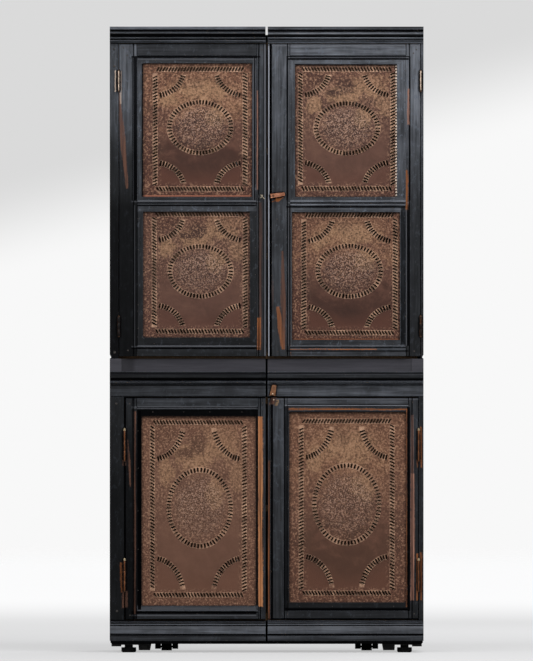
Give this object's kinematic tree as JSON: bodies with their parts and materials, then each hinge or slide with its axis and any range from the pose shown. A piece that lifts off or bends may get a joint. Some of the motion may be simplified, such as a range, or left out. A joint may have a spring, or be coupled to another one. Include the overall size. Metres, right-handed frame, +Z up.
{
  "type": "pie safe",
  "caption": "Two-tier black painted pie safe with inset doors, punched-tin panels, plank back, shelves, levelling feet and rear rollers.",
  "frame": {"origin": "on the floor under the middle of the case", "axes": "+Z up, the doors face -Y, +X to the right when looking at the doors"},
  "size_m": [0.91, 0.455, 1.815],
  "materials": {
    "black_paint": "worn black paint on pine, satin",
    "bare_pine": "unpainted aged pine",
    "punched_tin": "rust-brown patinated tinplate, punched",
    "hinge_iron": "painted iron butt hinges",
    "grip_grey": "smooth dark grey paint",
    "button_wood": "worn brown hardwood",
    "foot_black": "black",
    "roller_black": "black nylon",
    "bracket_steel": "black painted steel"
  },
  "bodies": {
    "case": {"back_boards": "bare_pine", "base_skid": "black_paint", "bottom_board": "black_paint", "cornice_left": "black_paint", "cornice_right": "black_paint", "door_stops": "bare_pine", "foot_brackets": "bracket_steel", "frieze_left": "black_paint", "frieze_right": "black_paint", "grip_rail_left": "grip_grey", "grip_rail_right": "grip_grey", "hinge_case_leaves": "hinge_iron", "lower_stile_left": "black_paint", "lower_stile_right": "black_paint", "plinth_left": "black_paint", "plinth_right": "black_paint", "roller_brackets": "bracket_steel", "shelf_cleats": "bare_pine", "shelves": "bare_pine", "side_left": "black_paint", "side_right": "black_paint", "top_board": "black_paint", "upper_stile_left": "black_paint", "upper_stile_right": "black_paint", "waist_board": "bare_pine", "waist_moulding_left": "black_paint", "waist_moulding_right": "black_paint", "waist_rail": "black_paint"},
    "upper_left_door": {"upper_left_door_hinge_leaves": "hinge_iron", "upper_left_door_hinge_stile": "black_paint", "upper_left_door_lock_stile": "black_paint", "upper_left_door_rails": "black_paint", "upper_left_door_tin_high": "punched_tin", "upper_left_door_tin_low": "punched_tin", "upper_left_door_tin_strips": "black_paint"},
    "upper_right_door": {"upper_right_door_hinge_leaves": "hinge_iron", "upper_right_door_hinge_stile": "black_paint", "upper_right_door_lock_stile": "black_paint", "upper_right_door_rails": "black_paint", "upper_right_door_tin_high": "punched_tin", "upper_right_door_tin_low": "punched_tin", "upper_right_door_tin_strips": "black_paint"},
    "lower_left_door": {"lower_left_door_hinge_leaves": "hinge_iron", "lower_left_door_hinge_stile": "black_paint", "lower_left_door_lock_stile": "black_paint", "lower_left_door_rails": "black_paint", "lower_left_door_tin": "punched_tin", "lower_left_door_tin_strips": "black_paint"},
    "lower_right_door": {"lower_right_door_hinge_leaves": "hinge_iron", "lower_right_door_hinge_stile": "black_paint", "lower_right_door_lock_stile": "black_paint", "lower_right_door_rails": "black_paint", "lower_right_door_tin": "punched_tin", "lower_right_door_tin_strips": "black_paint"},
    "upper_button": {"upper_turn_button": "button_wood"},
    "lower_button": {"lower_turn_button": "button_wood"},
    "left_foot": {"levelling_foot_left": "foot_black"},
    "right_foot": {"levelling_foot_right": "foot_black"},
    "left_roller": {"roller_left": "roller_black"},
    "right_roller": {"roller_right": "roller_black"}
  },
  "joints": [
    {"name": "upper_left_door_hinge", "type": "hinge", "parent": "case", "child": "upper_left_door", "pos_m": [-0.429, -0.2165, 1.302], "axis": [0, 0, -1], "range_deg": [0, 170]},
    {"name": "upper_right_door_hinge", "type": "hinge", "parent": "case", "child": "upper_right_door", "pos_m": [0.447, -0.2165, 1.302], "axis": [0, 0, 1], "range_deg": [0, 170]},
    {"name": "lower_left_door_hinge", "type": "hinge", "parent": "case", "child": "lower_left_door", "pos_m": [-0.412, -0.2165, 0.4115], "axis": [0, 0, -1], "range_deg": [0, 170]},
    {"name": "lower_right_door_hinge", "type": "hinge", "parent": "case", "child": "lower_right_door", "pos_m": [0.441, -0.2165, 0.4115], "axis": [0, 0, 1], "range_deg": [0, 170]},
    {"name": "upper_button_turn", "type": "hinge", "parent": "upper_right_door", "child": "upper_button", "pos_m": [0.019, -0.2115, 1.325], "axis": [0, -1, 0], "range_deg": [0, 172]},
    {"name": "lower_button_turn", "type": "hinge", "parent": "case", "child": "lower_button", "pos_m": [0.0178, -0.2115, 0.7503], "axis": [0, 1, 0], "range_deg": [0, 170]},
    {"name": "left_foot_screw", "type": "slide", "parent": "case", "child": "left_foot", "axis": [0, 0, -1], "range_m": [0, 0.012]},
    {"name": "right_foot_screw", "type": "slide", "parent": "case", "child": "right_foot", "axis": [0, 0, -1], "range_m": [0, 0.012]},
    {"name": "left_roller_axle", "type": "hinge", "parent": "case", "child": "left_roller", "pos_m": [-0.2918, 0.178, 0.0115], "axis": [1, 0, 0], "continuous": true},
    {"name": "right_roller_axle", "type": "hinge", "parent": "case", "child": "right_roller", "pos_m": [0.2918, 0.178, 0.0115], "axis": [1, 0, 0], "continuous": true}
  ]
}
